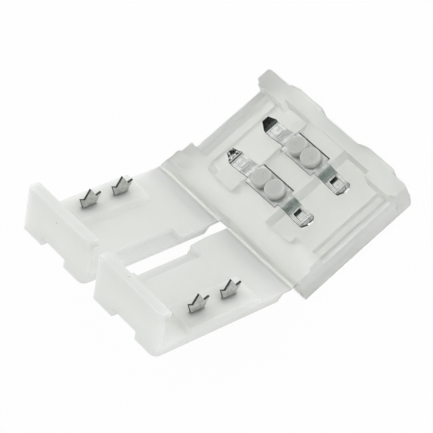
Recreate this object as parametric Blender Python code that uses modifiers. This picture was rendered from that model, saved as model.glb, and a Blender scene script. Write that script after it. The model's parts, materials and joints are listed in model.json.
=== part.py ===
"""Two-contact connector clip for a 10 mm led strip, moulded in clear polypropylene.

The moulding is a low housing with a channel for the strip along X, and two flaps side by side on one
living hinge. Each flap ends in an upright latch wall that snaps over a catch bump on the housing's far
side. Two sprung contacts are staked across the middle of the channel, and each flap carries two teeth.

The housing stands on z = 0 with its centre on the Z axis. The flaps lie to its -Y side, raised to the
angle that they spring to when they are let go. Inside a flap, u runs along X, v runs out from the hinge
axis and w is the height above the inner face, the face that meets the strip when the flap is closed.
"""

import math

import bmesh
import bpy
from mathutils import Matrix, Vector

MM = 0.001

# Clearances
FIT = 0.02 * MM
CLOSED_GAP = 0.4 * MM
WALL_GAP = 0.2 * MM
LATCH_PLAY = 0.1 * MM
FOOT_GAP = 0.15 * MM
PAD_GAP = 0.36 * MM
TIP_GAP = 0.3 * MM
HEAD_GAP = 0.18 * MM
TOOTH_GAP = 0.15 * MM

# Housing block
BASE_LENGTH = 22.7 * MM
BASE_WIDTH = 16.2 * MM
BASE_HEIGHT = 4.7 * MM
BASE_CORNER = 0.25 * MM
EDGE_EASE = 0.12 * MM

# Flanges on the housing's ends: a short one beside the hinge wall, and one that widens the far wall
NEAR_FLANGE_REACH = 0.4 * MM
NEAR_FLANGE_HEIGHT = 1.2 * MM
NEAR_FLANGE_SLOPE = 0.4 * MM
NEAR_FLANGE_WIDTH = 2.05 * MM
FAR_FLANGE_REACH = 0.55 * MM
FAR_FLANGE_HEIGHT = 1.5 * MM
FAR_FLANGE_SLOPE = 2.8 * MM
FAR_FLANGE_WIDTH = 2.0 * MM
FLANGE_CORNER = 0.35 * MM

# Channel for the strip: a sill at each end, then a well for the teeth, then a floor with pockets beside it
CHANNEL_WIDTH = 10.3 * MM
CHANNEL_OFFSET = 0.63 * MM
SILL_LENGTH = 0.9 * MM
SILL_DEPTH = 1.45 * MM
FLOOR_DEPTH = 2.05 * MM
WELL_LENGTH = 1.6 * MM
BRIDGE_LENGTH = 6.0 * MM
BRIDGE_DROP = 0.2 * MM
POCKET_NEAR = 0.98 * MM
POCKET_FAR = 0.76 * MM
POCKET_PAST_TIP = 0.15 * MM
EJECTOR_RADIUS = 1.1 * MM
EJECTOR_DEPTH = 0.08 * MM
EJECTOR_FROM_BRIDGE = 1.35 * MM
EJECTOR_FROM_WALL = 1.25 * MM

# Catch bumps on the far wall
BUMP_LENGTH = 5.4 * MM
BUMP_SHIFT = 0.34 * MM
BUMP_REACH = 0.9 * MM
BUMP_TOP_DROP = 0.4 * MM
BUMP_RAMP_DROP = 1.2 * MM
BUMP_END = 0.75 * MM

# Living hinge: a film level with the inner faces, which folds about an axis just above them
HINGE_FROM_WALL = 0.85 * MM
FILM_THICKNESS = 0.3 * MM
FILM_GAP = 0.1 * MM
LEFT_REST_ANGLE = math.radians(30.2)
RIGHT_REST_ANGLE = math.radians(29.6)

# Flap plate, whose latch wall has its +X corner well rounded and its -X corner nearly sharp
FLAP_OVERHANG = 0.45 * MM
FLAP_INNER = 0.98 * MM
FLAP_THICKNESS = 1.16 * MM
PLATE_START = 1.2 * MM
PLATE_BEVEL = 0.7 * MM
FLAP_ROUND_CORNER = 0.8 * MM
FLAP_SHARP_CORNER = 0.2 * MM
HEEL_REACH = 0.55 * MM
HEEL_STEP = 0.3 * MM
HEEL_END = 5.8 * MM
HEEL_TAPER_END = 3.2 * MM

# Latch wall at the flap's end, with its hook and the nail notch under it
WALL_THICKNESS = 0.85 * MM
HOOK_HEIGHT = 0.95 * MM
SNAP_OVERLAP = 0.4 * MM
HOOK_LEAD_IN = 0.15 * MM
NOTCH_LENGTH = 4.0 * MM
NOTCH_HEIGHT = 1.1 * MM
NOTCH_DEPTH = 0.95 * MM
NOTCH_STEPS = 5

# Raised pad that presses on the strip
PAD_HEIGHT = 0.8 * MM
PAD_SLANT = 0.3 * MM

# Teeth: crown-shaped plates that stand in slots in the pads, their points leaning to the latch side
TOOTH_SHEET = 0.3 * MM
TOOTH_PITCH = 4.45 * MM
TOOTH_BODY = 1.86 * MM
TOOTH_SHANK = 1.3 * MM
TOOTH_HORN_SPAN = 2.9 * MM
TOOTH_HORN_HEIGHT = 1.3 * MM
TOOTH_VALLEY_SPAN = 1.6 * MM
TOOTH_VALLEY_HEIGHT = 1.02 * MM
TOOTH_HEIGHT = 2.3 * MM
TOOTH_LEAN = 0.15 * MM

# Contacts: sprung strips, each staked across the bridge by two posts
CONTACT_PITCH = 5.45 * MM
CONTACT_OFFSET = 0.5 * MM
SHEET = 0.25 * MM
PLATE_MARGIN = 0.43 * MM
PLATE_WIDTH = 2.95 * MM
FINGER_WIDTH = 1.92 * MM
FINGER_STEEP_RUN = 1.2 * MM
FINGER_STEEP_DROP = 0.55 * MM
FINGER_FLAT_RUN = 1.8 * MM
FINGER_FLAT_DROP = 0.32 * MM
TIP_RUN = 1.0 * MM
TIP_RISE = 0.9 * MM
TIP_WIDTH = 0.4 * MM
TIP_TAPER = 1.0 * MM
TONGUE_WIDTH = 0.95 * MM
TONGUE_SLOT = 0.1 * MM
TONGUE_MOUTH = 0.3 * MM
TONGUE_LENGTH = 1.3 * MM
TONGUE_FROM_FOOT = 0.2 * MM

# Stakes: posts of the housing, melted over into heads above the contacts
STAKE_PITCH = 2.28 * MM
POST_DIAMETER = 1.3 * MM
HEAD_DIAMETER = 2.36 * MM
HEAD_HEIGHT = 0.85 * MM
HEAD_EDGE = 0.2 * MM
ROUND_STEPS = 32

# Overrun of a cutter past the face that it leaves, and of a joined piece into its carrier
PAST = 1.0 * MM
INTO = 0.3 * MM

# Decimals of a metre that a point's place is rounded to
GRID_DECIMALS = 8

# Levels and places that follow from the sizes above
BRIDGE_END = BRIDGE_LENGTH / 2
BRIDGE_TOP = BASE_HEIGHT - BRIDGE_DROP
BASE_END = BASE_LENGTH / 2
NEAR_WALL = -BASE_WIDTH / 2
FAR_WALL = BASE_WIDTH / 2
CHANNEL_NEAR = CHANNEL_OFFSET - CHANNEL_WIDTH / 2
CHANNEL_FAR = CHANNEL_OFFSET + CHANNEL_WIDTH / 2
POCKET_SPAN = (CHANNEL_NEAR - POCKET_NEAR, CHANNEL_FAR + POCKET_FAR)
FLOOR = BASE_HEIGHT - FLOOR_DEPTH
HINGE_Y = NEAR_WALL - HINGE_FROM_WALL
FLAP_OUTER = BASE_END + FLAP_OVERHANG
FLAP_MIDDLE = (FLAP_INNER + FLAP_OUTER) / 2
BUMP_FROM_CENTRE = FLAP_MIDDLE - BUMP_SHIFT
INNER_FACE = -CLOSED_GAP / 2
HINGE_Z = BASE_HEIGHT - INNER_FACE
WELL_DEPTH = PAD_HEIGHT + TOOTH_HEIGHT + TOOTH_GAP - CLOSED_GAP
WELL_OUTER = BASE_END - SILL_LENGTH
TOOTH_FROM_CENTRE = WELL_OUTER - WELL_LENGTH / 2
CONTACT_ROWS = (CONTACT_OFFSET - CONTACT_PITCH / 2, CONTACT_OFFSET + CONTACT_PITCH / 2)
PLATE_END = BRIDGE_END - PLATE_MARGIN
PLATE_TOP = BRIDGE_TOP + FIT + SHEET
FINGER_BEND = BRIDGE_END + SHEET / 2
FINGER_FOOT = FINGER_BEND + FINGER_STEEP_RUN + FINGER_FLAT_RUN
FINGER_REACH = FINGER_FOOT + TIP_RUN
HEAD_TOP = PLATE_TOP + FIT + HEAD_HEIGHT
WALL_INSIDE = FAR_WALL + BUMP_REACH + WALL_GAP - HINGE_Y
FLAP_LENGTH = WALL_INSIDE + WALL_THICKNESS
WALL_HEIGHT = BASE_HEIGHT + CLOSED_GAP - FOOT_GAP
HOOK_REACH = WALL_GAP + SNAP_OVERLAP
BUMP_LEDGE = BASE_HEIGHT + CLOSED_GAP - WALL_HEIGHT + HOOK_HEIGHT + LATCH_PLAY
PAD_INNER = FINGER_REACH + TIP_GAP
PAD_START = CHANNEL_NEAR + PAD_GAP - HINGE_Y
PAD_END = CHANNEL_FAR - PAD_GAP - HINGE_Y
RELIEF_OUTER = STAKE_PITCH / 2 + HEAD_DIAMETER / 2 + 2 * HEAD_GAP
RELIEF_DEPTH = HEAD_TOP - BASE_HEIGHT - CLOSED_GAP + HEAD_GAP
RELIEF_START = CONTACT_ROWS[0] - HEAD_DIAMETER / 2 - HEAD_GAP - HINGE_Y
RELIEF_END = CONTACT_ROWS[1] + HEAD_DIAMETER / 2 + HEAD_GAP - HINGE_Y
UNDER_FACE = INNER_FACE - FLAP_THICKNESS

# Turns that lay a flat outline's depth along one axis
ALONG_X = Matrix(((0, 0, 1), (1, 0, 0), (0, 1, 0))).to_4x4()
ALONG_Y = Matrix(((1, 0, 0), (0, 0, -1), (0, 1, 0))).to_4x4()
ALONG_Z = Matrix.Identity(4)


def clear_scene():
    """Removes what the file holds, so that the model stands alone."""
    for item in list(bpy.data.objects):
        bpy.data.objects.remove(item, do_unlink=True)


def new_collection(name):
    collection = bpy.data.collections.new(name)
    bpy.context.scene.collection.children.link(collection)
    return collection


def make_material(name, colour, roughness, metallic=0.0, transmission=0.0):
    material = bpy.data.materials.new(name)
    material.use_nodes = True
    shader = material.node_tree.nodes["Principled BSDF"]
    shader.inputs["Base Color"].default_value = (*colour, 1.0)
    shader.inputs["Roughness"].default_value = roughness
    shader.inputs["Metallic"].default_value = metallic
    shader.inputs["Transmission Weight"].default_value = transmission
    return material


def object_from_bmesh(name, shape, collection, parent=None):
    """Makes an object of a shape whose points lie on a fine grid, so that flush faces are exactly flush."""
    for vert in shape.verts:
        vert.co = [round(coordinate, GRID_DECIMALS) for coordinate in vert.co]
    mesh = bpy.data.meshes.new(name)
    shape.to_mesh(mesh)
    shape.free()
    item = bpy.data.objects.new(name, mesh)
    item.parent = parent
    collection.objects.link(item)
    return item


def box(name, low, high, collection, parent=None):
    """A block between two corners."""
    low, high = Vector(low), Vector(high)
    shape = bmesh.new()
    bmesh.ops.create_cube(shape, size=1.0)
    bmesh.ops.scale(shape, vec=high - low, verts=shape.verts)
    bmesh.ops.translate(shape, vec=(low + high) / 2, verts=shape.verts)
    return object_from_bmesh(name, shape, collection, parent)


def cylinder(name, centre, radius, low, high, collection):
    """An upright cylinder between two heights."""
    shape = bmesh.new()
    bmesh.ops.create_cone(
        shape, cap_ends=True, segments=ROUND_STEPS, radius1=radius, radius2=radius, depth=high - low
    )
    bmesh.ops.translate(shape, vec=(*centre, (low + high) / 2), verts=shape.verts)
    return object_from_bmesh(name, shape, collection)


def spline_curve(name, points, closed):
    """A curve of straight runs through points in its own XY plane."""
    curve = bpy.data.curves.new(name, "CURVE")
    spline = curve.splines.new("POLY")
    spline.points.add(len(points) - 1)
    for point, (across, up) in zip(spline.points, points):
        point.co = (across, up, 0.0, 1.0)
    spline.use_cyclic_u = closed
    return curve


def mesh_from_curve(name, curve, turn, move, collection, parent=None):
    """Makes the curve a mesh object with welded caps, turned and moved."""
    source = bpy.data.objects.new(f"{name}_curve", curve)
    collection.objects.link(source)
    graph = bpy.context.evaluated_depsgraph_get()
    mesh = bpy.data.meshes.new_from_object(source.evaluated_get(graph))
    bpy.data.objects.remove(source, do_unlink=True)
    shape = bmesh.new()
    shape.from_mesh(mesh)
    bmesh.ops.remove_doubles(shape, verts=shape.verts, dist=1e-7)
    bmesh.ops.transform(shape, matrix=Matrix.Translation(move) @ turn, verts=shape.verts)
    bmesh.ops.recalc_face_normals(shape, faces=shape.faces)
    return object_from_bmesh(name, shape, collection, parent)


def prism(name, outline, depth, turn, move, collection, parent=None):
    """A flat outline with half its depth on each side."""
    curve = spline_curve(name, outline, closed=True)
    curve.dimensions = "2D"
    curve.fill_mode = "BOTH"
    curve.extrude = depth / 2
    return mesh_from_curve(name, curve, turn, move, collection, parent)


def arc(centre, radius, start, end, steps):
    """Points on an arc between two angles in degrees."""
    angles = [math.radians(start + (end - start) * step / steps) for step in range(steps + 1)]
    return [(centre[0] + radius * math.cos(a), centre[1] + radius * math.sin(a)) for a in angles]


def boolean(item, cutter, operation):
    modifier = item.modifiers.new(operation.lower(), "BOOLEAN")
    modifier.operation = operation
    modifier.solver = "EXACT"
    modifier.object = cutter


def bevel_edges(item, width, wanted, segments=2):
    """Rounds the edges for which wanted(edge) holds."""
    shape = bmesh.new()
    shape.from_mesh(item.data)
    edges = [edge for edge in shape.edges if wanted(edge)]
    bmesh.ops.bevel(
        shape, geom=edges, offset=width, segments=segments, profile=0.5, affect="EDGES", clamp_overlap=True
    )
    shape.to_mesh(item.data)
    shape.free()


def runs_along(edge, axis):
    direction = (edge.verts[1].co - edge.verts[0].co).normalized()
    return abs(direction[axis]) > 0.999


def finish(item, material):
    """Gives the piece its material, and smooth shading on its rounds."""
    item.data.materials.clear()
    item.data.materials.append(material)
    item.data.shade_smooth()
    item.data.set_sharp_from_angle(angle=math.radians(35.0))


def span(side, near, far):
    """The low and high x of a band on one side of the centre."""
    return sorted((side * near, side * far))


def housing_block(parts):
    """The plain block, with its far corners and its rims rounded."""
    low = (-BASE_END, NEAR_WALL, 0.0)
    high = (BASE_END, FAR_WALL, BASE_HEIGHT)
    block = box("base_housing", low, high, parts)
    bevel_edges(block, BASE_CORNER, lambda edge: runs_along(edge, 2) and edge.verts[0].co.y > 0, segments=5)
    bevel_edges(block, EDGE_EASE, lambda edge: runs_along(edge, 0) and edge.verts[0].co.z < BASE_HEIGHT / 2)
    return block


def end_flange(name, side, span_y, reach, height, slope, cutters):
    """A flange on one end: upright for its height, then sloped back to the end face."""
    root, tip = BASE_END - INTO, BASE_END + reach
    under = BASE_HEIGHT - height
    foot = under - slope
    profile = [(root, BASE_HEIGHT), (tip, BASE_HEIGHT), (tip, under), (BASE_END, foot), (root, foot)]
    outline = [(side * x, z) for x, z in profile]
    low_y, high_y = span_y
    flange = prism(name, outline, high_y - low_y, ALONG_Y, (0, (low_y + high_y) / 2, 0), cutters)
    bevel_edges(
        flange, FLANGE_CORNER,
        lambda edge: runs_along(edge, 2) and abs(edge.verts[0].co.x) > BASE_END, segments=3,
    )
    return flange


def end_flanges(side, cutters):
    near = end_flange(
        f"flange_near_{side}", side, (NEAR_WALL, NEAR_WALL + NEAR_FLANGE_WIDTH),
        NEAR_FLANGE_REACH, NEAR_FLANGE_HEIGHT, NEAR_FLANGE_SLOPE, cutters,
    )
    far = end_flange(
        f"flange_far_{side}", side, (FAR_WALL - FAR_FLANGE_WIDTH, FAR_WALL),
        FAR_FLANGE_REACH, FAR_FLANGE_HEIGHT, FAR_FLANGE_SLOPE, cutters,
    )
    return near, far


def channel_cuts(side, cutters):
    """One side's way in over the sill, the well behind it, the floor, and the pocket round the fingers."""
    top = BASE_HEIGHT + PAST
    sill = BASE_HEIGHT - SILL_DEPTH
    low, high = span(side, BRIDGE_END, BASE_END + PAST)
    way_in = box(f"way_in_{side}", (low, CHANNEL_NEAR, sill), (high, CHANNEL_FAR, top), cutters)
    low, high = span(side, BRIDGE_END, WELL_OUTER)
    floor = box(f"floor_{side}", (low, CHANNEL_NEAR, FLOOR), (high, CHANNEL_FAR, sill + INTO), cutters)
    low, high = span(side, WELL_OUTER - WELL_LENGTH, WELL_OUTER)
    bottom = BASE_HEIGHT - WELL_DEPTH
    well = box(f"well_{side}", (low, CHANNEL_NEAR, bottom), (high, CHANNEL_FAR, FLOOR + INTO), cutters)
    low, high = span(side, BRIDGE_END, FINGER_REACH + POCKET_PAST_TIP)
    near, far = POCKET_SPAN
    pocket = box(f"pocket_{side}", (low, near, FLOOR), (high, far, top), cutters)
    bevel_edges(pocket, EDGE_EASE, lambda edge: runs_along(edge, 2))
    return way_in, floor, well, pocket


def bridge_cut(cutters):
    """Sets the bridge's top a little below the walls, from pocket to pocket."""
    near, far = POCKET_SPAN
    reach = BRIDGE_END + INTO
    return box("bridge_top", (-reach, near, BRIDGE_TOP), (reach, far, BASE_HEIGHT + PAST), cutters)


def ejector_mark(side, cutters):
    """The shallow disc that an ejector pin leaves in the floor."""
    centre = (side * (BRIDGE_END + EJECTOR_FROM_BRIDGE), POCKET_SPAN[1] - EJECTOR_FROM_WALL)
    return cylinder(f"ejector_{side}", centre, EJECTOR_RADIUS, FLOOR - EJECTOR_DEPTH, FLOOR + INTO, cutters)


def catch_bump(side, cutters):
    """A ramp over an upright land, cut off square by the ledge that the hook catches under."""
    top = BASE_HEIGHT - BUMP_TOP_DROP
    ledge = BUMP_LEDGE
    outer = FAR_WALL + BUMP_REACH
    profile = [
        (FAR_WALL - INTO, top),
        (FAR_WALL, top),
        (outer, top - BUMP_RAMP_DROP),
        (outer, ledge),
        (FAR_WALL - INTO, ledge),
    ]
    move = (side * BUMP_FROM_CENTRE, 0, 0)
    bump = prism(f"bump_{side}", profile, BUMP_LENGTH, ALONG_X, move, cutters)
    bevel_edges(
        bump, BUMP_END,
        lambda edge: runs_along(edge, 2) and edge.verts[0].co.y > outer - FIT, segments=3,
    )
    return bump


def flap_gap_edge(side):
    """How far from the centre a flap's film starts: the right flap has a heel there, the left has none."""
    return FLAP_INNER - HEEL_REACH if side > 0 else FLAP_INNER


def base_film(side, cutters):
    """The housing's half of the hinge film, which ends at the axis."""
    low, high = span(side, flap_gap_edge(side), FLAP_OUTER)
    bottom = BASE_HEIGHT - FILM_THICKNESS
    start = HINGE_Y + FILM_GAP / 2
    return box(f"film_{side}", (low, start, bottom), (high, NEAR_WALL + INTO, BASE_HEIGHT), cutters)


def stake(name, centre, cutters):
    """A post with its melted head, turned from one profile."""
    post, head = POST_DIAMETER / 2, HEAD_DIAMETER / 2
    seat = PLATE_TOP + FIT
    edge = arc((head - HEAD_EDGE, HEAD_TOP - HEAD_EDGE), HEAD_EDGE, 90, 0, 4)
    root = BRIDGE_TOP - INTO
    profile = [(0.0, HEAD_TOP), *edge, (head, seat), (post, seat), (post, root), (0.0, root)]
    shape = bmesh.new()
    verts = [shape.verts.new((radius, 0.0, height)) for radius, height in profile]
    for first, second in zip(verts, verts[1:]):
        shape.edges.new((first, second))
    item = object_from_bmesh(name, shape, cutters)
    item.location = (*centre, 0.0)
    turn = item.modifiers.new("turn", "SCREW")
    turn.steps = turn.render_steps = ROUND_STEPS
    turn.use_merge_vertices = True
    turn.merge_threshold = 1e-6
    return item


def stake_places(y):
    return [(side * STAKE_PITCH / 2, y) for side in (-1, 1)]


def make_housing(parts, cutters, material):
    housing = housing_block(parts)
    for side in (-1, 1):
        for piece in (*end_flanges(side, cutters), catch_bump(side, cutters), base_film(side, cutters)):
            boolean(housing, piece, "UNION")
        for cutter in (*channel_cuts(side, cutters), ejector_mark(side, cutters)):
            boolean(housing, cutter, "DIFFERENCE")
    boolean(housing, bridge_cut(cutters), "DIFFERENCE")
    for row, y in enumerate(CONTACT_ROWS):
        for place, centre in enumerate(stake_places(y)):
            boolean(housing, stake(f"stake_{row}_{place}", centre, cutters), "UNION")
    finish(housing, material)


def flap_plan(side):
    """A flap seen from above. The right flap has a heel on its gap side, next to the hinge."""
    root, end = -FILM_GAP / 2, -FLAP_LENGTH
    outer, inner = FLAP_SHARP_CORNER, FLAP_ROUND_CORNER
    if side > 0:
        outer, inner = inner, outer
    outer_corner = arc((FLAP_OUTER - outer, end + outer), outer, 0, -90, 5)
    gap_corner = arc((FLAP_INNER + inner, end + inner), inner, -90, -180, 5)
    heel = []
    if side > 0:
        heel = [
            (FLAP_INNER, -HEEL_END - HEEL_STEP / 2),
            (FLAP_INNER - HEEL_STEP, -HEEL_END + HEEL_STEP / 2),
            (FLAP_INNER - HEEL_REACH, -HEEL_TAPER_END),
        ]
    outline = [(FLAP_OUTER, root), *outer_corner, *gap_corner, *heel, (flap_gap_edge(side), root)]
    return [(side * u, v) for u, v in outline]


def flap_section():
    """A flap seen from its end: film, bevelled plate, and latch wall with its hook."""
    start = -FILM_GAP / 2
    film = INNER_FACE - FILM_THICKNESS
    end = -FLAP_LENGTH - PAST
    top = INNER_FACE + WALL_HEIGHT
    inside = -WALL_INSIDE
    hook = inside + HOOK_REACH
    return [
        (start, INNER_FACE),
        (start, film),
        (-PLATE_START, film),
        (-PLATE_START - PLATE_BEVEL, UNDER_FACE),
        (end, UNDER_FACE),
        (end, top),
        (hook - HOOK_LEAD_IN, top),
        (hook, top - HOOK_LEAD_IN),
        (hook, top - HOOK_HEIGHT),
        (inside, top - HOOK_HEIGHT),
        (inside, INNER_FACE),
    ]


def flap_pad(name, side, cutters, hinge):
    """The raised pad, with a slant at its inner end."""
    top = INNER_FACE + PAD_HEIGHT
    root = INNER_FACE - INTO
    slant_foot = PAD_INNER + PAD_SLANT - PAD_SLANT * (PAD_HEIGHT + INTO) / PAD_HEIGHT
    outline = [(PAD_INNER + PAD_SLANT, top), (FLAP_OUTER, top), (FLAP_OUTER, root), (slant_foot, root)]
    outline = [(side * u, w) for u, w in outline]
    move = (0, -(PAD_START + PAD_END) / 2, 0)
    pad = prism(f"{name}_pad", outline, PAD_END - PAD_START, ALONG_Y, move, cutters, hinge)
    bevel_edges(pad, EDGE_EASE, lambda edge: min(vert.co.z for vert in edge.verts) > INNER_FACE)
    return pad


def nail_notch(name, side, cutters, hinge):
    """A hollow under the latch wall, for a fingernail to lift the flap."""
    outside = -FLAP_LENGTH
    roof = UNDER_FACE + NOTCH_HEIGHT
    angles = [math.radians(90 * step / NOTCH_STEPS) for step in range(NOTCH_STEPS + 1)]
    curve = [
        (outside + NOTCH_DEPTH * math.sin(a), UNDER_FACE + NOTCH_HEIGHT * math.cos(a)) for a in angles
    ]
    profile = [(outside - PAST, roof), *curve, (outside + NOTCH_DEPTH, UNDER_FACE - PAST)]
    profile.append((outside - PAST, UNDER_FACE - PAST))
    move = (side * FLAP_MIDDLE, 0, 0)
    return prism(f"{name}_notch", profile, NOTCH_LENGTH, ALONG_X, move, cutters, hinge)


def head_relief(name, side, cutters, hinge):
    """The sunk band along the gap, which clears the stake heads when the flap is closed."""
    low, high = span(side, -FLAP_INNER, RELIEF_OUTER)
    corner = (low, -RELIEF_END, INNER_FACE - RELIEF_DEPTH)
    return box(f"{name}_relief", corner, (high, -RELIEF_START, INNER_FACE + PAST), cutters, hinge)


def tooth_places(side):
    """The places of a flap's two teeth, on the middle line of its pad."""
    middle = (PAD_START + PAD_END) / 2
    return [(side * TOOTH_FROM_CENTRE, -(middle + half * TOOTH_PITCH)) for half in (-0.5, 0.5)]


def tooth_slot(name, place, cutters, hinge):
    """The slot that a tooth's shank is pressed into."""
    half = Vector((TOOTH_SHEET / 2 + FIT, TOOTH_BODY / 2 + FIT))
    low = Vector(place) - half
    high = Vector(place) + half
    bottom = INNER_FACE + PAD_HEIGHT - TOOTH_SHANK - FIT
    return box(name, (*low, bottom), (*high, INNER_FACE + PAD_HEIGHT + PAST), cutters, hinge)


def make_flap(name, side, parts, cutters, hinge, material):
    """The flap's plan crossed with its section, then its pad, notch, relief and tooth slots."""
    height = 2 * (WALL_HEIGHT + FLAP_THICKNESS + PAST)
    flap = prism(name, flap_plan(side), height, ALONG_Z, (0, 0, 0), parts, hinge)
    run = 2 * (FLAP_OUTER + PAST)
    section = prism(f"{name}_section", flap_section(), run, ALONG_X, (0, 0, 0), cutters, hinge)
    boolean(flap, section, "INTERSECT")
    boolean(flap, flap_pad(name, side, cutters, hinge), "UNION")
    boolean(flap, nail_notch(name, side, cutters, hinge), "DIFFERENCE")
    boolean(flap, head_relief(name, side, cutters, hinge), "DIFFERENCE")
    for number, place in enumerate(tooth_places(side), start=1):
        boolean(flap, tooth_slot(f"{name}_slot_{number}", place, cutters, hinge), "DIFFERENCE")
    finish(flap, material)


def make_hinge(name, rest_angle):
    """An empty on the hinge axis at its flap's rest angle. The flap and its teeth hang from it."""
    hinge = bpy.data.objects.new(name, None)
    hinge.location = (0, HINGE_Y, HINGE_Z)
    hinge.rotation_euler = (-rest_angle, 0, 0)
    bpy.context.scene.collection.objects.link(hinge)
    return hinge


def tooth_outline():
    """A crown: a tall middle point between two horns that lean out past the body."""
    body, horn, valley = TOOTH_BODY / 2, TOOTH_HORN_SPAN / 2, TOOTH_VALLEY_SPAN / 2
    right = [(body, -TOOTH_SHANK), (body, 0.0), (horn, TOOTH_HORN_HEIGHT), (valley, TOOTH_VALLEY_HEIGHT)]
    left = [(-across, up) for across, up in reversed(right)]
    return [*right, (-TOOTH_LEAN, TOOTH_HEIGHT), *left]


def make_teeth(flap_name, side, parts, hinge, material):
    for number, (x, y) in enumerate(tooth_places(side), start=1):
        move = (x, y, INNER_FACE + PAD_HEIGHT)
        name = f"{flap_name}_tooth_{number}"
        finish(prism(name, tooth_outline(), TOOTH_SHEET, ALONG_X, move, parts, hinge), material)


def finger_line():
    """Half of the contact seen from the side, from its middle to one tip, on the sheet's middle."""
    level = BRIDGE_TOP + FIT + SHEET / 2
    steep_end = FINGER_BEND + FINGER_STEEP_RUN
    foot = level - FINGER_STEEP_DROP - FINGER_FLAT_DROP
    return [
        (0.0, level),
        (FINGER_BEND, level),
        (steep_end, level - FINGER_STEEP_DROP),
        (FINGER_FOOT, foot),
        (FINGER_REACH, foot + TIP_RISE),
    ]


def contact_ribbon(name, y, parts):
    """The bent sheet, as wide as its plate all along."""
    half = finger_line()
    line = [(-x, z) for x, z in reversed(half[1:])] + half
    curve = spline_curve(name, line, closed=False)
    curve.dimensions = "3D"
    curve.extrude = PLATE_WIDTH / 2 + INTO
    ribbon = mesh_from_curve(name, curve, ALONG_Y, (0, y, 0), parts)
    sheet = ribbon.modifiers.new("sheet", "SOLIDIFY")
    sheet.thickness = SHEET
    sheet.offset = 0.0
    sheet.use_even_offset = True
    return ribbon


def contact_blank():
    """The contact's flat outline: plate, fingers and pointed tips."""
    plate, finger, tip = PLATE_WIDTH / 2, FINGER_WIDTH / 2, TIP_WIDTH / 2
    quarter = [
        (FINGER_REACH + SHEET, tip),
        (FINGER_REACH + SHEET - TIP_TAPER, finger),
        (PLATE_END, finger),
        (PLATE_END, plate),
    ]
    half = quarter + [(-x, across) for x, across in reversed(quarter)]
    return half + [(x, -across) for x, across in reversed(half)]


def tongue_cut(name, side, y, cutters):
    """A U-shaped cut in a finger, which frees a tongue that points at the bridge."""
    end = FINGER_FOOT - TONGUE_FROM_FOOT
    begin = end - TONGUE_LENGTH
    half = TONGUE_WIDTH / 2
    outside = half + TONGUE_SLOT
    outline = [
        (begin - TONGUE_MOUTH, -outside), (end, -outside), (end, -half), (begin, -half),
        (begin, half), (end, half), (end, outside), (begin - TONGUE_MOUTH, outside),
    ]
    outline = [(side * x, across) for x, across in outline]
    return prism(name, outline, 4 * PAST, ALONG_Z, (0, y, BASE_HEIGHT), cutters)


def make_contact(name, y, parts, cutters, material):
    contact = contact_ribbon(name, y, parts)
    blank = prism(f"{name}_blank", contact_blank(), 6 * PAST, ALONG_Z, (0, y, BASE_HEIGHT), cutters)
    boolean(contact, blank, "INTERSECT")
    for place, centre in enumerate(stake_places(y)):
        radius = POST_DIAMETER / 2 + FIT
        low, high = BRIDGE_TOP - INTO, BASE_HEIGHT + PAST
        boolean(contact, cylinder(f"{name}_hole_{place}", centre, radius, low, high, cutters), "DIFFERENCE")
    for side in (-1, 1):
        boolean(contact, tongue_cut(f"{name}_tongue_{side}", side, y, cutters), "DIFFERENCE")
    finish(contact, material)


def hide_cutters(cutters):
    for item in cutters.objects:
        item.hide_render = True
        item.display_type = "WIRE"


def main():
    clear_scene()
    parts = new_collection("led_strip_connector")
    cutters = new_collection("cutters")
    plastic = make_material("clear_polypropylene", (0.76, 0.79, 0.77), 0.42, transmission=0.5)
    tin = make_material("bright_tin_sheet", (0.62, 0.63, 0.61), 0.25, metallic=1.0)
    steel = make_material("stamped_steel", (0.36, 0.37, 0.36), 0.35, metallic=1.0)
    make_housing(parts, cutters, plastic)
    for name, side, rest_angle in (("flap_left", -1, LEFT_REST_ANGLE), ("flap_right", 1, RIGHT_REST_ANGLE)):
        hinge = make_hinge(f"{name}_hinge", rest_angle)
        make_flap(name, side, parts, cutters, hinge, plastic)
        make_teeth(name, side, parts, hinge, steel)
    for name, y in zip(("contact_near", "contact_far"), CONTACT_ROWS):
        make_contact(name, y, parts, cutters, tin)
    hide_cutters(cutters)


main()
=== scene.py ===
"""Looks, studio and camera for a two-contact connector clip for led strip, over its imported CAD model.

The clip is one moulding of natural polypropylene: a housing and two flaps on a film hinge. Two tinned
contact strips are staked in the housing, and each flap carries two stamped steel teeth. Every piece
here is an eased copy of a CAD node, or a film that bridges the housing and a flap at their axis.
Lengths are in metres unless a line says otherwise.
"""

import json
import logging
import math
from abc import ABC, abstractmethod
from dataclasses import dataclass, field
from enum import Enum, IntEnum

import bmesh
import bpy
from mathutils import Matrix, Vector, noise


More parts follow.
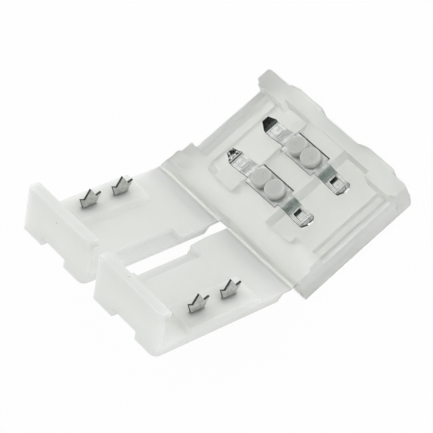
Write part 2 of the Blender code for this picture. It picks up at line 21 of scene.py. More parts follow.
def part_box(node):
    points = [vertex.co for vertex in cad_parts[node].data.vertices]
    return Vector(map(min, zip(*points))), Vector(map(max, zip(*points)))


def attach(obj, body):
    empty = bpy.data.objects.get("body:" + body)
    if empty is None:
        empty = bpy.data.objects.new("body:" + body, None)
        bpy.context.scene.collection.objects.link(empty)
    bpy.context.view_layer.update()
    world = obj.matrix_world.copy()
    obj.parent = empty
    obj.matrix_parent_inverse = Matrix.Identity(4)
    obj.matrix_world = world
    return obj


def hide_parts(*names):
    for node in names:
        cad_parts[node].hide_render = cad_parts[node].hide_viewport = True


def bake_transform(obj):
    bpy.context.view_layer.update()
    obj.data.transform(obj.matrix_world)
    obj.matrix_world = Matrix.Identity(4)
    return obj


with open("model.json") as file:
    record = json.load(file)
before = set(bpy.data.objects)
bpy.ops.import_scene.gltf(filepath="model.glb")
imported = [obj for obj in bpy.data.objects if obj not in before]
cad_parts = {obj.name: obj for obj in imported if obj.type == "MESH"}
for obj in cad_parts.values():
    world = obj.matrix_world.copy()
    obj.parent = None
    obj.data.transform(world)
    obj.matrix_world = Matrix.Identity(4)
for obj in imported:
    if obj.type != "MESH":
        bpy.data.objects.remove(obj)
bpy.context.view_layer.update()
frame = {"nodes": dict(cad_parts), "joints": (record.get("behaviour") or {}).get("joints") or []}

LOG = logging.getLogger("connector")
MM = 0.001
PLASTIC_IOR = 1.49
SMOOTH_BELOW = math.radians(40.0)
ON_PLANE = 1e-7
Triple = tuple[float, float, float]
Colour = Triple


class Side(Enum):
    """Which of the two flaps a piece belongs to, seen from the flaps' side of the housing."""

    LEFT = -1
    RIGHT = 1

    @property
    def word(self) -> str:
        """The side's name as the CAD nodes and bodies write it."""
        return self.name.lower()


class Zone(IntEnum):
    """Where on the housing a face lies, which is also the number of its material."""

    BODY = 0
    HEAD = 1
    FILM = 2
    # Faces painted lighter, as painted light: the housing's ends and thin inner corners.
    END = 3


class Graph:
    """The node tree of one material, grown a node at a time."""

    def __init__(self, name: str) -> None:
        """Starts the tree.

        Args:
            name: The material's name.
        """
        self.material = bpy.data.materials.new(name)
        self.material.use_nodes = True
        self.tree = self.material.node_tree
        self.shader = self.tree.nodes["Principled BSDF"]
        self.place = self.tree.nodes.new("ShaderNodeTexCoord").outputs["Object"]

    def add(
        self, kind: str, values: dict[str | int, object] | None = None, **settings: object
    ) -> bpy.types.Node:
        """Adds a node.

        Args:
            kind: The node's Blender type.
            values: Input sockets by name or number, each with a value or with the output to link to it.
            settings: The node's own settings.

        Returns:
            The new node.
        """
        node = self.tree.nodes.new(kind)
        for name, value in settings.items():
            setattr(node, name, value)
        self.fill(node, values or {})
        return node

    def fill(self, node: bpy.types.Node, values: dict[str | int, object]) -> None:
        """Sets or links a node's inputs.

        Args:
            node: The node.
            values: Input sockets by name or number, each with a value or with the output to link to it.
        """
        for name, value in values.items():
            if isinstance(value, bpy.types.NodeSocket):
                self.tree.links.new(value, node.inputs[name])
            else:
                node.inputs[name].default_value = value

    def noise(
        self, size: float, detail: float = 3.0, stretch: Triple = (1.0, 1.0, 1.0)
    ) -> bpy.types.NodeSocket:
        """A noise pattern that is fixed to the piece.

        Args:
            size: The width of a blotch in metres.
            detail: How many finer layers it has.
            stretch: How much finer the pattern is along each axis.

        Returns:
            The pattern's value, which is about 0.5 on average.
        """
        mapping = self.add("ShaderNodeMapping", {"Vector": self.place, "Scale": stretch})
        wanted = {"Vector": mapping.outputs[0], "Scale": 1.0 / size, "Detail": detail}
        return self.add("ShaderNodeTexNoise", wanted).outputs["Fac"]

    def ranged(
        self, value: bpy.types.NodeSocket, low: float, high: float, start: float = 0.35, end: float = 0.65
    ) -> bpy.types.NodeSocket:
        """Maps a pattern on a range of numbers.

        Args:
            value: The pattern.
            low: What the pattern's start becomes.
            high: What its end becomes.
            start: The pattern's value at the start.
            end: The pattern's value at the end.

        Returns:
            The mapped number.
        """
        wanted = {"Value": value, "From Min": start, "From Max": end, "To Min": low, "To Max": high}
        return self.add("ShaderNodeMapRange", wanted).outputs["Result"]

    def mixed(self, share: bpy.types.NodeSocket, first: object, second: object) -> bpy.types.NodeSocket:
        """Mixes two colours.

        Args:
            share: How much of the second colour there is.
            first: A colour or the output of one.
            second: A colour or the output of one.

        Returns:
            The mixed colour.
        """
        node = self.add("ShaderNodeMix", data_type="RGBA")
        colours = [c if isinstance(c, bpy.types.NodeSocket) else (*c, 1.0) for c in (first, second)]
        self.fill(node, {0: share, 6: colours[0], 7: colours[1]})
        return node.outputs[2]

    def bumped(
        self, height: bpy.types.NodeSocket, depth: float, strength: float,
        under: bpy.types.NodeSocket | None = None,
    ) -> bpy.types.NodeSocket:
        """Turns a pattern into relief.

        Args:
            height: The pattern.
            depth: How deep the relief is, in metres.
            strength: How much of it shows.
            under: The relief that this one lies on.

        Returns:
            The relief's normal.
        """
        wanted = {"Height": height, "Distance": depth, "Strength": strength}
        if under is not None:
            wanted["Normal"] = under
        return self.add("ShaderNodeBump", wanted).outputs["Normal"]

    def reckoned(self, operation: str, *terms: bpy.types.NodeSocket | float) -> bpy.types.NodeSocket:
        """Does a sum with terms that are numbers or the outputs of nodes."""
        return self.add("ShaderNodeMath", dict(enumerate(terms)), operation=operation).outputs[0]

    def show(self, node: bpy.types.Node) -> None:
        """Makes a node's first output the material's surface."""
        self.tree.links.new(node.outputs[0], self.tree.nodes["Material Output"].inputs["Surface"])


class Finish(ABC):
    """How a kind of surface looks.

    A size is the width of a pattern's blotches, a stretch makes them finer along each axis, a relief is
    its depth and how much of it shows, and satin is the roughness at both ends of a pattern.
    """

    @abstractmethod
    def material(self) -> bpy.types.Material:
        """Builds the finish's material."""


@dataclass(frozen=True)
class NaturalPolypropylene(Finish):
    """Uncoloured polypropylene as moulded: milky, satin, with faint flow marks and a few dark flecks.

    Light scatters over the depth, times the glow of each colour. The flecks' size is a share of their pitch.
    """

    name: str = "natural_polypropylene"
    milky: Colour = (0.896, 0.914, 0.866)
    clear: Colour = (0.868, 0.888, 0.840)
    fleck: Colour = (0.10, 0.11, 0.10)
    glow: Colour = (1.0, 1.04, 0.98)
    depth: float = 6.0 * MM
    passing: float = 0.68
    satin: tuple[float, float] = (0.62, 0.78)
    satin_size: float = 0.9 * MM
    fleck_size: tuple[float, float] = (0.018, 0.030)
    fleck_pitch: float = 3.2 * MM
    cloud_size: float = 7 * MM
    flow_size: float = 2.6 * MM
    flow_stretch: Triple = (0.35, 1.0, 1.0)
    flow_share: float = 0.35
    grain_size: float = 0.18 * MM
    grain_relief: tuple[float, float] = (0.01 * MM, 0.25)
    ripple_size: float = 1.6 * MM
    ripple_stretch: Triple = (0.5, 1.0, 1.0)
    ripple_relief: tuple[float, float] = (0.03 * MM, 0.35)

    def material(self) -> bpy.types.Material:
        """Builds the milky plastic.

        Returns:
            The material.
        """
        graph = Graph(self.name)
        cloud = graph.ranged(graph.noise(self.cloud_size, detail=2.0), 0.0, 1.0)
        flow = graph.ranged(graph.noise(self.flow_size, 4.0, self.flow_stretch), 0.0, self.flow_share)
        body = graph.mixed(flow, graph.mixed(cloud, self.milky, self.clear), self.milky)
        cells = {"Vector": graph.place, "Scale": 1 / self.fleck_pitch, "Randomness": 1.0}
        distance = graph.add("ShaderNodeTexVoronoi", cells).outputs["Distance"]
        flecks = graph.ranged(distance, 1.0, 0.0, *self.fleck_size)
        grain = graph.noise(self.grain_size, detail=2.0)
        ripple = graph.noise(self.ripple_size, 2.0, self.ripple_stretch)
        relief = graph.bumped(grain, *self.grain_relief, graph.bumped(ripple, *self.ripple_relief))
        graph.fill(graph.shader, {
            "Base Color": graph.mixed(flecks, body, self.fleck),
            "Roughness": graph.ranged(graph.noise(self.satin_size), *self.satin),
            "Normal": relief,
            "IOR": PLASTIC_IOR,
            "Subsurface Weight": 1.0,
            "Subsurface Radius": self.glow,
            "Subsurface Scale": self.depth,
            "Specular IOR Level": 0.5,
            "Transmission Weight": self.passing,
        })
        return graph.material


@dataclass(frozen=True)
class StressedFilm(Finish):
    """The same plastic where it folds: stressed white along the axis of the hinge."""

    line_y: float
    body: Colour = (0.706, 0.733, 0.680)
    white: Colour = (0.775, 0.797, 0.752)
    half_line: float = 0.06 * MM
    craze_size: float = 0.25 * MM
    craze_stretch: Triple = (0.3, 1.0, 1.0)
    craze_share: tuple[float, float] = (0.6, 1.0)
    craze_relief: tuple[float, float] = (0.01 * MM, 0.4)
    satin: tuple[float, float] = (0.40, 0.62)
    glow: Colour = (1.0, 1.02, 0.98)
    depth: float = 0.6 * MM

    def material(self) -> bpy.types.Material:
        """Builds the film's plastic.

        Returns:
            The material.
        """
        graph = Graph("stressed_film")
        across = graph.add("ShaderNodeSeparateXYZ", {0: graph.place}).outputs["Y"]
        away = graph.reckoned("ABSOLUTE", graph.reckoned("ADD", across, -self.line_y))
        crazed = graph.ranged(graph.noise(self.craze_size, 3.0, self.craze_stretch), *self.craze_share)
        line = graph.ranged(away, 1.0, 0.0, self.half_line, 2.0 * self.half_line)
        share = graph.reckoned("MULTIPLY", crazed, line)
        graph.fill(graph.shader, {
            "Base Color": graph.mixed(share, self.body, self.white),
            "Roughness": graph.ranged(share, *self.satin, 0.0, 1.0),
            "Normal": graph.bumped(crazed, *self.craze_relief),
            "IOR": PLASTIC_IOR,
            "Subsurface Weight": 1.0,
            "Subsurface Radius": self.glow,
            "Subsurface Scale": self.depth,
        })
        return graph.material


@dataclass(frozen=True)
class TinnedSheet(Finish):
    """Bright tin plate on spring sheet, with rolling lines along it and duller patches."""

    name: str = "tinned_sheet"
    bright: Colour = (0.60, 0.61, 0.59)
    dull: Colour = (0.51, 0.525, 0.51)
    dents: float = 0.004 * MM
    dent_size: float = 0.9 * MM
    line_size: float = 0.16 * MM
    line_stretch: Triple = (0.08, 1.0, 1.0)
    line_relief: tuple[float, float] = (0.010 * MM, 0.5)
    patch_size: float = 0.7 * MM
    patch_edge: tuple[float, float] = (0.4, 0.62)
    satin: tuple[float, float] = (0.13, 0.27)

    def material(self) -> bpy.types.Material:
        """Builds the plated metal.

        Returns:
            The material.
        """
        graph = Graph(self.name)
        lines = graph.noise(self.line_size, 3.0, self.line_stretch)
        patches = graph.noise(self.patch_size)
        dents = graph.bumped(graph.noise(self.dent_size, detail=1.0), self.dents, 1.0)
        colour = graph.mixed(graph.ranged(patches, 0.0, 1.0, *self.patch_edge), self.bright, self.dull)
        graph.fill(graph.shader, {
            "Base Color": colour,
            "Metallic": 1.0,
            "Roughness": graph.ranged(patches, *self.satin),
            "Normal": graph.bumped(lines, *self.line_relief, dents),
        })
        return graph.material


@dataclass(frozen=True)
class ShearedEdge(Finish):
    """The cut edge of a stamped sheet: dark and torn, with streaks that the punch wiped brighter. On the
    contact strips it also paints a band of painted shade along a plate's far edge.
    """

    name: str = "sheared_edge"
    wiped: Colour = (0.10, 0.10, 0.095)
    torn: Colour = (0.03, 0.03, 0.028)
    streak_size: float = 0.12 * MM
    streak_stretch: Triple = (1.0, 1.0, 0.3)
    streak_relief: tuple[float, float] = (0.02 * MM, 0.6)
    satin: tuple[float, float] = (0.38, 0.6)

    def material(self) -> bpy.types.Material:
        """Builds the cut edge.

        Returns:
            The material.
        """
        graph = Graph(self.name)
        streaks = graph.noise(self.streak_size, 3.0, self.streak_stretch)
        graph.fill(graph.shader, {
            "Base Color": graph.mixed(graph.ranged(streaks, 0.0, 1.0), self.torn, self.wiped),
            "Metallic": 1.0,
            "Roughness": graph.ranged(streaks, *self.satin),
            "Normal": graph.bumped(streaks, *self.streak_relief),
        })
        return graph.material


@dataclass(frozen=True)
class StampedSteel(Finish):
    """Plain steel sheet as it comes from the press: grey, satin, with rolling lines and stains."""

    light: Colour = (0.66, 0.66, 0.64)
    stain: Colour = (0.47, 0.47, 0.45)
    stain_size: float = 0.5 * MM
    line_size: float = 0.1 * MM
    line_stretch: Triple = (1.0, 1.0, 0.12)
    line_relief: tuple[float, float] = (0.01 * MM, 0.5)
    satin: tuple[float, float] = (0.34, 0.5)

    def material(self) -> bpy.types.Material:
        """Builds the bare steel.

        Returns:
            The material.
        """
        graph = Graph("stamped_steel")
        stains = graph.noise(self.stain_size, detail=4.0)
        lines = graph.noise(self.line_size, 3.0, self.line_stretch)
        graph.fill(graph.shader, {
            "Base Color": graph.mixed(graph.ranged(stains, 0.0, 1.0), self.light, self.stain),
            "Metallic": 1.0,
            "Roughness": graph.ranged(lines, *self.satin),
            "Normal": graph.bumped(lines, *self.line_relief),
        })
        return graph.material


def dressed(name: str, shape: bmesh.types.BMesh, materials: list[bpy.types.Material]) -> bpy.types.Object:
    """Makes a finished piece of a bmesh, shaded smooth between its hard edges.

    Args:
        name: The piece's name.
        shape: Its shape, which is freed.
        materials: Its materials, in the order of its faces' material numbers.

    Returns:
        The piece, with its object at the origin.
    """
    mesh = bpy.data.meshes.new(name)
    shape.to_mesh(mesh)
    shape.free()
    for material in materials:
        mesh.materials.append(material)
    mesh.shade_smooth()
    mesh.set_sharp_from_angle(angle=SMOOTH_BELOW)
    piece = bpy.data.objects.new(name, mesh)
    bpy.context.scene.collection.objects.link(piece)
    return piece


@dataclass
class EasedPart:
    """A rigid piece with its CAD node's form and the small rounds that tools leave on every edge."""

    node: str
    body: str
    slot: str
    long_ease: float = 0.16 * MM
    long_edge: float = 1.2 * MM
    ease: float = 0.05 * MM
    segments: int = 4
    hard_angle: float = math.radians(28.0)
    flat_angle: float = math.radians(0.5)
    weld: float = 0.001 * MM
    made: str = "eased"

    def round_edges(
        self, shape: bmesh.types.BMesh, edges: list[bmesh.types.BMEdge], width: float
    ) -> None:
        """Rounds some edges.

        Args:
            shape: The shape that they belong to.
            edges: The edges.
            width: How far the round reaches over each face.
        """
        bmesh.ops.bevel(
            shape, geom=edges, offset=width, offset_type="OFFSET", segments=self.segments, profile=0.5,
            affect="EDGES", material=-1, clamp_overlap=True, loop_slide=True, miter_outer="ARC",
        )

    def hard_edges(self, shape: bmesh.types.BMesh) -> list[bmesh.types.BMEdge]:
        """The edges at which the surface turns sharply."""
        return [edge for edge in shape.edges if edge.calc_face_angle(0.0) > self.hard_angle]

    def welded(self) -> bmesh.types.BMesh:
        """Welds a copy of the node's mesh, with one face for each flat.

        Returns:
            The welded shape.
        """
        shape = bmesh.new()
        shape.from_mesh(frame["nodes"][self.node].data)
        bmesh.ops.remove_doubles(shape, verts=shape.verts, dist=self.weld)
        bmesh.ops.dissolve_limit(
            shape, angle_limit=self.flat_angle, verts=shape.verts, edges=shape.edges,
            use_dissolve_boundaries=False,
        )
        return shape

    def shape(self) -> bmesh.types.BMesh:
        """Rounds the hard edges of the welded shape and numbers its faces.

        Returns:
            The eased shape.
        """
        shape = self.welded()
        long = [edge for edge in self.hard_edges(shape) if edge.calc_length() > self.long_edge]
        self.round_edges(shape, long, self.long_ease)
        self.round_edges(shape, self.hard_edges(shape), self.ease)
        shape.normal_update()
        for face in shape.faces:
            face.material_index = self.number_of(face)
        return shape

    def number_of(self, face: bmesh.types.BMFace) -> int:
        """The number of a face's material: a plain piece has only one."""
        return 0

    def seat(self, piece: bpy.types.Object) -> bpy.types.Object:
        """Puts a piece in the place of the CAD node.

        Args:
            piece: The finished piece.

        Returns:
            The same piece.
        """
        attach(piece, self.body)
        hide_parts(self.node)
        LOG.info("%s: %d faces on %s", piece.name, len(piece.data.polygons), self.body)
        return piece

    def build(self, *materials: bpy.types.Material) -> bpy.types.Object:
        """Builds the piece.

        Args:
            materials: Its materials, in the order of the numbers that its faces have.

        Returns:
            The piece.
        """
        return self.seat(dressed(f"{self.node}_{self.made}", self.shape(), list(materials)))


@dataclass
class Moulding(EasedPart):
    """One rigid part of the moulding: the housing or a flap."""

    slot: str = "clear_plastic"
    made: str = "moulded"
    hinge_half: float = 0.90 * MM
    hinge_above: float = 4.0 * MM

    def beside_hinge(self, edge: bmesh.types.BMEdge) -> bool:
        """Tells whether an edge lies in the film, where the plastic is too thin to be rounded."""
        axis_y = frame["joints"][0]["pos_m"][1]
        places = [vert.co for vert in edge.verts]
        return all(abs(at.y - axis_y) < self.hinge_half and at.z > self.hinge_above for at in places)

    def hard_edges(self, shape: bmesh.types.BMesh) -> list[bmesh.types.BMEdge]:
        """The edges at which the surface turns sharply, apart from those in the film."""
        return [edge for edge in super().hard_edges(shape) if not self.beside_hinge(edge)]


@dataclass
class Housing(Moulding):
    """The moulding's thick part, with the melted heads of its stakes and its thin half of the film; its ends
    and thin inner corners are painted lighter, as painted light.
    """

    heads_above: float = 4.75 * MM
    film_before: float = -8.11 * MM
    # The ends and these thin inner corners are painted lighter: painted light that brightens them where they
    # lie in shade.
    corner_x: tuple[float, float] = (-7.45 * MM, -7.15 * MM)
    corners_beyond: tuple[float, float] = (-4.9 * MM, 5.7 * MM)
    ends_beyond: float = 10.2 * MM
    facing: float = 0.5

    def number_of(self, face: bmesh.types.BMFace) -> Zone:
        """Says which zone a face is in. The ends take in the thin inner corners at the -X end; both take a
        lighter copy of the plastic, as painted light where they lie in shade.

        Args:
            face: A face of the eased shape.

        Returns:
            The zone.
        """
        centre = face.calc_center_median()
        if centre.z > self.heads_above:
            return Zone.HEAD
        low, high = self.corners_beyond
        in_corner = self.corner_x[0] < centre.x < self.corner_x[1] and not low < centre.y < high
        if abs(centre.x) > self.ends_beyond or (in_corner and face.normal.x > self.facing):
            return Zone.END
        return Zone.FILM if centre.y < self.film_before else Zone.BODY


@dataclass
class Stamping(EasedPart):
    """A piece cut from sheet, with a sheared edge all round it.

    The cut edge faces along edge_axis, or the sheet itself does where flat_side is set.
    """

    long_ease: float = 0.05 * MM
    ease: float = 0.04 * MM
    segments: int = 3
    slot: str = "tinned_sheet"
    made: str = "stamped"
    edge_axis: int = 1
    flat_side: bool = False
    flat_from: float = 0.7
    edge_from: float = 0.5

    def is_edge(self, face: bmesh.types.BMFace) -> bool:
        """Tells whether a face belongs to the cut edge.

        Args:
            face: A face of the eased shape.

        Returns:
            Whether the press sheared it.
        """
        along = abs(face.normal[self.edge_axis])
        return along < self.flat_from if self.flat_side else along > self.edge_from

    def number_of(self, face: bmesh.types.BMFace) -> int:
        """The number of a face's material: 0 for the sheet, 1 for its cut edge."""
        return int(self.is_edge(face))


@dataclass
class ContactStrip(Stamping):
    """A sprung contact, whose CAD form has sharp folds: here they are rolled, as the press leaves them.

    The line is the sheet's run beyond its plate, in mm: distance from the strip's middle, and height.
    """

    bend_from: float = 2.60 * MM
    bend_to: float = 7.00 * MM
    bend_step: float = 0.10 * MM
    window: float = 0.70 * MM
    window_steps: int = 10
    line: tuple[tuple[float, float], ...] = ((3.125, 0.0), (4.325, -0.55), (6.125, -0.87), (7.125, 0.03))
    # Width of the top face along the plate's far edge that takes the cut edge's dark finish: painted shade.
    burr: float = 0.16 * MM
    tongue: tuple[float, float] = (4.625 * MM, 5.975 * MM)
    tongue_half: float = 0.475 * MM
    tongue_slot: float = 0.11 * MM
    tongue_lift: float = 0.20 * MM
    tongue_curl: float = 0.40 * MM
    crumple: float = 0.0
    crumple_size: float = 0.45 * MM
    crumple_cuts: int = 3
    crumple_pitch: float = 0.2 * MM
    crumple_fade: float = 0.2 * MM
    tip_from: float = 6.2 * MM
    middle: float = field(init=False)
    burr_line: float = field(init=False)

    def __post_init__(self) -> None:
        """Finds the strip's middle and the y where the band of painted shade along the plate's far edge
        starts.
        """
        low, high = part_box(self.node)
        self.middle = (low.y + high.y) / 2
        self.burr_line = high.y - self.burr

    def height(self, along: float) -> float:
        """How high the folded sheet lies over its plate.

        Args:
            along: Distance from the strip's middle.

        Returns:
            The height of the sheet's middle.
        """
        points = [(0.0, 0.0), *((x * MM, z * MM) for x, z in self.line)]
        for (x0, z0), (x1, z1) in zip(points, points[1:]):
            if along <= x1:
                return z0 + (z1 - z0) * (along - x0) / (x1 - x0)
        (x0, z0), (x1, z1) = points[-2:]
        return z1 + (z1 - z0) * (along - x1) / (x1 - x0)

    def rolled(self, along: float) -> float:
        """How far a point rises or sinks when the folds are rolled.

        Args:
            along: Distance from the strip's middle.

        Returns:
            The change of height.
        """
        steps = [self.window * (step / self.window_steps - 0.5) for step in range(self.window_steps + 1)]
        mean = sum(self.height(along + step) for step in steps) / len(steps)
        return mean - self.height(along)

    def welded(self) -> bmesh.types.BMesh:
        """Cuts the welded strip into short lengths, rolls its folds and parts off the band of painted shade
        along the plate's far edge.

        Returns:
            The strip's shape.
        """
        shape = super().welded()
        count = int((self.bend_to - self.bend_from) / self.bend_step)
        stations = [self.bend_from + self.bend_step * number for number in range(count + 1)]
        for along in (*stations, *(-station for station in stations)):
            self.bisect(shape, Vector((along, 0.0, 0.0)), Vector((1.0, 0.0, 0.0)))
        self.bisect(shape, Vector((0.0, self.burr_line, 0.0)), Vector((0.0, 1.0, 0.0)))
        if self.crumple:
            for number in range(-self.crumple_cuts, self.crumple_cuts + 1):
                place = Vector((0.0, self.middle + number * self.crumple_pitch, 0.0))
                self.bisect(shape, place, Vector((0.0, 1.0, 0.0)))
        for vert in shape.verts:
            vert.co.z += self.rolled(abs(vert.co.x)) + self.lifted(vert.co) + self.crumpled(vert.co)
        return shape

    def lifted(self, place: Vector) -> float:
        """How far the free end of the +X tongue curls up.

        Args:
            place: A point of the strip.

        Returns:
            The change of height.
        """
        along = abs(place.x) - self.tongue[0]
        aside = abs(place.y - self.middle)
        if aside > self.tongue_half + self.weld or not -self.weld < along < self.tongue_curl:
            return 0.0
        return self.tongue_lift * (1.0 - along / self.tongue_curl) * (place.x > 0.0)

    def crumpled(self, place: Vector) -> float:
        """How far a point of the -X tip was pushed in when the strip was handled.

        Args:
            place: A point of the strip.

        Returns:
            The change of height.
        """
        if not self.crumple or place.x > -self.tip_from:
            return 0.0
        flat = Vector((place.x, place.y, 0.0)) / self.crumple_size
        share = min(1.0, (-self.tip_from - place.x) / self.crumple_fade)
        return -self.crumple * abs(noise.noise(flat)) * share

    @staticmethod
    def bisect(shape: bmesh.types.BMesh, place: Vector, normal: Vector) -> None:
        """Cuts every face along a plane and keeps both sides.

        Args:
            shape: The shape.
            place: A point of the plane.
            normal: The plane's normal.
        """
        everything = [*shape.verts, *shape.edges, *shape.faces]
        bmesh.ops.bisect_plane(shape, geom=everything, dist=ON_PLANE, plane_co=place, plane_no=normal)

    def is_edge(self, face: bmesh.types.BMFace) -> bool:
        """Tells whether a face belongs to the cut edge or to the band of painted shade beside it, but for
        the -X tongue's slot.

        Args:
            face: A face of the eased shape.

        Returns:
            Whether the press sheared it.
        """
        centre = face.calc_center_median()
        aside = abs(centre.y - self.middle)
        on_tongue = self.tongue[0] < -centre.x < self.tongue[1]
        if on_tongue and aside < self.tongue_half + self.tongue_slot:
            return False
        # The top face along the plate's far edge is painted dark with the cut edge's finish: painted shade.
        return super().is_edge(face) or centre.y > self.burr_line


@dataclass
class HingeFilm:
    """The thin line of the living hinge, which folds between the housing's half and a flap's half."""

    side: Side
    half_width: float = 0.20 * MM
    proud: float = 0.004 * MM
    thickness: float = 0.26 * MM
    end_inset: float = 0.02 * MM
    fold: float = 0.07 * MM
    deck: float = 4.7 * MM
    strips: int = 20
    left_inner: float = -0.98 * MM
    right_inner: float = 0.43 * MM
    shut_turn: float = 180.0

    def joint(self) -> dict:
        """The joint that the film bends about."""
        return next(j for j in frame["joints"] if j["child"] == f"{self.side.word}_flap")

    def reach(self) -> tuple[float, float]:
        """The low and high x of the flap's own half of the film."""
        low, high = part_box(f"flap_{self.side.word}")
        if self.side is Side.LEFT:
            return low.x, self.left_inner
        return self.right_inner, high.x

    def build(self) -> bpy.types.Object:
        """Builds the film at rest, bent to the flap's rest angle.

        Returns:
            The piece.
        """
        joint = self.joint()
        axis = Vector(joint["pos_m"])
        rest = math.radians(self.shut_turn - joint["range_deg"][1])
        low, high = self.reach()
        shape = bmesh.new()
        bmesh.ops.create_grid(shape, x_segments=1, y_segments=self.strips, size=0.5)
        length = high - low - 2 * self.end_inset
        bmesh.ops.scale(shape, vec=(length, 2 * self.half_width, 1.0), verts=shape.verts)
        level = self.deck - axis.z + self.proud
        bmesh.ops.translate(shape, vec=((low + high) / 2, 0.0, level), verts=shape.verts)
        for vert in shape.verts:
            share = min(1.0, max(0.0, 0.5 - vert.co.y / (2 * self.fold)))
            turn = Matrix.Rotation(-rest * share, 3, "X")
            vert.co.yz = (turn @ Vector((0.0, vert.co.y, vert.co.z))).yz
        bmesh.ops.translate(shape, vec=(0.0, axis.y, axis.z), verts=shape.verts)
        bmesh.ops.solidify(shape, geom=shape.faces[:], thickness=self.thickness)
        bmesh.ops.recalc_face_normals(shape, faces=shape.faces)
        piece = dressed(f"hinge_film_{self.side.word}", shape, [StressedFilm(axis.y).material()])
        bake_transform(piece)
        LOG.info("%s: bends about y %.2f mm", piece.name, axis.y / MM)
        return piece


@dataclass
class Lamp:
    """A soft box of the studio."""

    name: str
    place: Triple
    size: float
    power: float
    colour: Colour = (1.0, 1.0, 1.0)
    target: Triple = (0.0, -5 * MM, 4 * MM)

    def build(self) -> None:
        """Builds the lamp, turned to the part."""
        data = bpy.data.lights.new(self.name, "AREA")
        data.shape = "DISK"
        data.size = self.size
        data.energy = self.power
        data.color = self.colour
        lamp = bpy.data.objects.new(self.name, data)
        lamp.location = self.place
        aim = Vector(self.target) - Vector(self.place)
        lamp.rotation_euler = aim.to_track_quat("-Z", "Y").to_euler()
        bpy.context.scene.collection.objects.link(lamp)


@dataclass
class Studio:
    """A white table under soft boxes, with a toned card that shows in reflections only."""

    table_size: float = 2.0
    table_grey: Colour = (0.86, 0.86, 0.86)
    table_rough: float = 0.9
    own_light: float = 0.95
    sky: float = 0.80
    card_size: tuple[float, float] = (0.66, 0.60)
    card_shift: float = -0.08
    card_towards: Triple = (0.50, 0.12, 0.84)
    card_distance: float = 0.30
    card_white: Colour = (1.12, 1.14, 1.11)
    card_grey: Colour = (0.41, 0.47, 0.445)
    card_dark: Colour = (0.006, 0.007, 0.006)
    white_fade: tuple[float, float] = (-0.02, 0.04)
    grey_fade: tuple[float, float] = (0.08, 0.15)
    key_place: Triple = (-0.30, 0.06, 0.23)
    key_size: float = 0.20
    key_power: float = 0.045
    first_side: float = math.radians(20.0)
    side_reach: float = 0.34
    side_height: float = 0.09
    side_size: float = 0.26
    side_powers: tuple[float, ...] = (0.33, 0.18, 0.21, 0.04)

    def table(self) -> None:
        """Builds the white table, which keeps a faint shadow."""
        shape = bmesh.new()
        bmesh.ops.create_grid(shape, x_segments=1, y_segments=1, size=self.table_size / 2)
        graph = Graph("white_table")
        graph.fill(graph.shader, {"Base Color": (*self.table_grey, 1.0), "Roughness": self.table_rough})
        path = graph.add("ShaderNodeLightPath").outputs
        seen = graph.reckoned("MAXIMUM", path["Is Camera Ray"], path["Is Glossy Ray"])
        seen = graph.reckoned("MAXIMUM", seen, path["Is Transmission Ray"])
        share = graph.reckoned("MULTIPLY", seen, self.own_light)
        white = graph.add("ShaderNodeEmission", {"Color": (1.0, 1.0, 1.0, 1.0), "Strength": 1.0})
        graph.show(graph.add(
            "ShaderNodeMixShader", {0: share, 1: graph.shader.outputs[0], 2: white.outputs[0]}
        ))
        table = dressed("table", shape, [graph.material])

    def card(self) -> None:
        """Builds the card over the +X end, white to dark, which the bends of the springs mirror."""
        shape = bmesh.new()
        bmesh.ops.create_grid(shape, x_segments=1, y_segments=1, size=0.5)
        bmesh.ops.scale(shape, vec=(*self.card_size, 1.0), verts=shape.verts)
        bmesh.ops.translate(shape, vec=(self.card_shift, 0.0, 0.0), verts=shape.verts)
        direction = Vector(self.card_towards).normalized()
        turn = direction.to_track_quat("Z", "Y").to_matrix().to_4x4()
        away = Matrix.Translation(direction * self.card_distance)
        bmesh.ops.transform(shape, matrix=away @ turn, verts=shape.verts)
        graph = Graph("dark_card")
        across = graph.add("ShaderNodeSeparateXYZ", {0: graph.place}).outputs["X"]
        fade = graph.ranged(across, 0.0, 1.0, *self.white_fade)
        colour = graph.mixed(fade, self.card_white, self.card_grey)
        fade = graph.ranged(across, 0.0, 1.0, *self.grey_fade)
        colour = graph.mixed(fade, colour, self.card_dark)
        graph.show(graph.add("ShaderNodeEmission", {"Color": colour, "Strength": 1.0}))
        card = dressed("dark_card", shape, [graph.material])
        card.visible_camera = card.visible_diffuse = False
        card.visible_shadow = card.visible_transmission = False

    def world(self) -> None:
        """Fills the room with plain light."""
        world = bpy.data.worlds.new("room")
        world.use_nodes = True
        background = world.node_tree.nodes["Background"]
        background.inputs["Color"].default_value = (1.0, 1.0, 1.0, 1.0)
        background.inputs["Strength"].default_value = self.sky
        bpy.context.scene.world = world

    def build(self) -> None:
        """Builds the table, the card, the room and the lamps."""
        self.table()
        self.card()
        self.world()
        Lamp("key_lamp", self.key_place, self.key_size, self.key_power).build()
        for number, power in enumerate(self.side_powers):
            angle = self.first_side + math.tau * number / len(self.side_powers)
            place = (self.side_reach * math.cos(angle), self.side_reach * math.sin(angle), self.side_height)
            Lamp(f"side_lamp_{number + 1}", place, self.side_size, power).build()


@dataclass(frozen=True)
class PhotoCamera:
    """The view of the photograph: right, up and back directions, and the place in millimetres."""

    right: Triple = (0.6234, 0.7382, -0.2577)
    up: Triple = (-0.5748, 0.6561, 0.4890)
    back: Triple = (0.5301, -0.1568, 0.8333)
    place: Triple = (145.67, -52.42, 236.20)
    lens: float = 206.68
    sensor: float = 36.0
    clip: tuple[float, float] = (0.01, 10.0)

    def build(self) -> None:
        """Builds the camera and makes it the scene's."""
        data = bpy.data.cameras.new("camera")
        data.lens = self.lens
        data.sensor_width = self.sensor
        data.clip_start, data.clip_end = self.clip
        camera = bpy.data.objects.new("camera", data)
        turn = Matrix((self.right, self.up, self.back)).transposed().to_4x4()
        camera.matrix_world = Matrix.Translation(Vector(self.place) * MM) @ turn
        bpy.context.scene.collection.objects.link(camera)
        bpy.context.scene.camera = camera


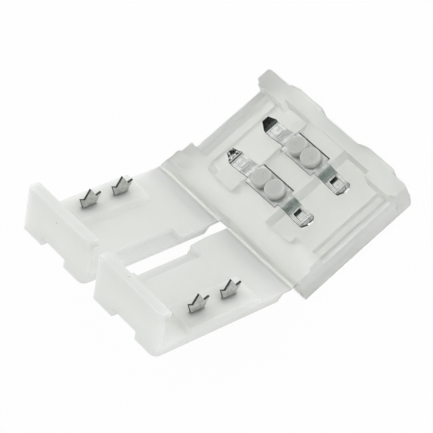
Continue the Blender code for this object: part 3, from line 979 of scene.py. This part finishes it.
@dataclass(frozen=True)
class Connector:
    """The whole clip, piece by piece."""

    plastic: Finish = NaturalPolypropylene()
    thin_plastic: Finish = NaturalPolypropylene(
        "natural_polypropylene_thin", milky=(0.708, 0.736, 0.680), clear=(0.680, 0.708, 0.654),
        depth=8.0 * MM, passing=0.05,
    )
    melted: Finish = NaturalPolypropylene(
        "melted_polypropylene", milky=(0.55, 0.57, 0.54), clear=(0.52, 0.54, 0.51),
        depth=0.6 * MM, passing=0.0, satin=(0.24, 0.40), fleck_size=(0.0, 0.001),
    )
    # A lighter copy of the plastic that paints light onto the housing's ends and thin inner corners.
    corner: Finish = NaturalPolypropylene(
        "natural_polypropylene_corner", milky=(0.965, 0.982, 0.940), clear=(0.940, 0.957, 0.915)
    )
    tin: Finish = TinnedSheet()
    dented_tin: Finish = TinnedSheet("dented_tin", dents=0.03 * MM, dent_size=0.55 * MM)
    # The cut edges of the tin, whose finish also paints shade along each plate's far edge.
    tin_cut: Finish = ShearedEdge()
    steel: Finish = StampedSteel()
    steel_cut: Finish = ShearedEdge("sheared_steel", wiped=(0.12, 0.12, 0.11), torn=(0.03, 0.03, 0.03))
    crumple: float = 0.45 * MM
    teeth: tuple[int, ...] = (1, 2)

    def build(self) -> list[bpy.types.Object]:
        """Builds every piece.

        Returns:
            The pieces.
        """
        plastics = (self.plastic, self.melted, self.thin_plastic, self.corner)
        plastic, melted, thin, corner = [finish.material() for finish in plastics]
        metals = (self.tin_cut, self.steel, self.steel_cut)
        tin_cut, steel, steel_cut = [finish.material() for finish in metals]
        pieces = [Housing("base_housing", "housing").build(plastic, melted, thin, corner)]
        near = ContactStrip("contact_near", "housing", crumple=self.crumple)
        far = ContactStrip("contact_far", "housing")
        pieces.append(near.build(self.dented_tin.material(), tin_cut))
        pieces.append(far.build(self.tin.material(), tin_cut))
        for side in Side:
            flap, body = f"flap_{side.word}", f"{side.word}_flap"
            pieces.append(Moulding(flap, body).build(thin))
            pieces.append(HingeFilm(side).build())
            for number in self.teeth:
                node = f"{flap}_tooth_{number}"
                tooth = Stamping(node, body, slot="tooth_steel", edge_axis=0, flat_side=True)
                pieces.append(tooth.build(steel, steel_cut))
        return pieces


def main() -> None:
    """Builds the connector in its studio and reports each piece."""
    logging.basicConfig(level=logging.INFO, format="%(message)s")
    bpy.context.scene.view_settings.view_transform = "Standard"
    pieces = Connector().build()
    Studio().build()
    PhotoCamera().build()
    LOG.info("%d pieces in all", len(pieces))


if __name__ == "__main__":
    main()
